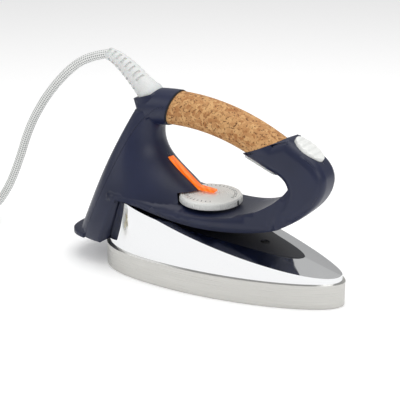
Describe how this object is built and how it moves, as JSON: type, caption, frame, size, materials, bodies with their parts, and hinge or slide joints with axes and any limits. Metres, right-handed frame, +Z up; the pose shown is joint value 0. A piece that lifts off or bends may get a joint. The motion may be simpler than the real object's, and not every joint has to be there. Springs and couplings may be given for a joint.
{
  "type": "clothes iron",
  "caption": "Dry clothes iron with pointed soleplate, chrome cover, moulded body, cork-sleeved handle, temperature dial and braided mains cord.",
  "frame": {"origin": "centre of the sole face, on the surface the iron stands on", "axes": "+X towards the nose, +Y to the user's left, +Z up from the sole face"},
  "size_m": [0.4891, 0.1743, 0.199],
  "materials": {
    "sole_metal": "satin, brushed rim",
    "chrome": "mirror",
    "deck_black": "fine matt",
    "navy_plastic": "satin",
    "cork": "sanded agglomerated cork",
    "inner_plastic": "moulded",
    "black_rubber": "matt",
    "white_plastic": "fine satin",
    "grey_plastic": "satin",
    "boot_rubber": "matt",
    "orange_lens": "clear tinted",
    "cord_braid": "braided textile",
    "pin_brass": "nickel plated",
    "steel": "turned",
    "ceramic": "fired steatite",
    "lamp_glass": "clear",
    "wire_sleeve": "insulation"
  },
  "bodies": {
    "iron": {"soleplate": "sole_metal", "chrome_cover": "chrome", "deck_plate": "deck_black", "insulating_spacer": "deck_black", "body_left": "navy_plastic", "body_right": "navy_plastic", "rear_cover": "navy_plastic", "cork_grip": "cork", "handle_core": "inner_plastic", "grip_ring": "black_rubber", "cord_boot": "boot_rubber", "pointer_lens": "orange_lens", "cord": "cord_braid", "cord_coil": "cord_braid", "cord_tail": "cord_braid", "cord_end": "cord_braid", "plug_body": "boot_rubber", "plug_pins": "pin_brass", "heating_element": "steel", "element_terminals": "steel", "sole_screws": "steel", "body_screws": "steel", "cover_screws": "steel", "clamp_screws": "steel", "terminal_screws": "pin_brass", "lever_pin": "steel", "button_spring": "steel", "lever_spring": "steel", "bimetal_strip": "steel", "fuse_clip": "steel", "thermostat_base": "ceramic", "thermal_fuse": "ceramic", "pilot_lamp": "lamp_glass", "lamp_holder": "inner_plastic", "terminal_block": "inner_plastic", "cord_clamp": "inner_plastic", "switch_carrier": "inner_plastic", "lever_stop": "inner_plastic", "button_switch": "inner_plastic", "lever_switch": "inner_plastic", "mains_wires": "wire_sleeve"},
    "dial": {"dial_knob": "white_plastic", "dial_shaft": "steel"},
    "button": {"thumb_button": "white_plastic"},
    "lever": {"grip_lever": "grey_plastic"}
  },
  "joints": [
    {"name": "dial_turn", "type": "hinge", "parent": "iron", "child": "dial", "pos_m": [-0.0145, 0, 0.075], "axis": [0, 0, 1], "range_deg": [-140, 140]},
    {"name": "button_press", "type": "slide", "parent": "iron", "child": "button", "axis": [-0.5284, 0, -0.849], "range_m": [0, 0.0025], "stiffness_N_per_m": 600, "deforming": ["button_spring"]},
    {"name": "lever_squeeze", "type": "hinge", "parent": "iron", "child": "lever", "pos_m": [0.0275, 0, 0.1226], "axis": [0, -1, 0], "range_deg": [0, 5], "stiffness_Nm_per_rad": 0.6, "deforming": ["lever_spring"]}
  ]
}
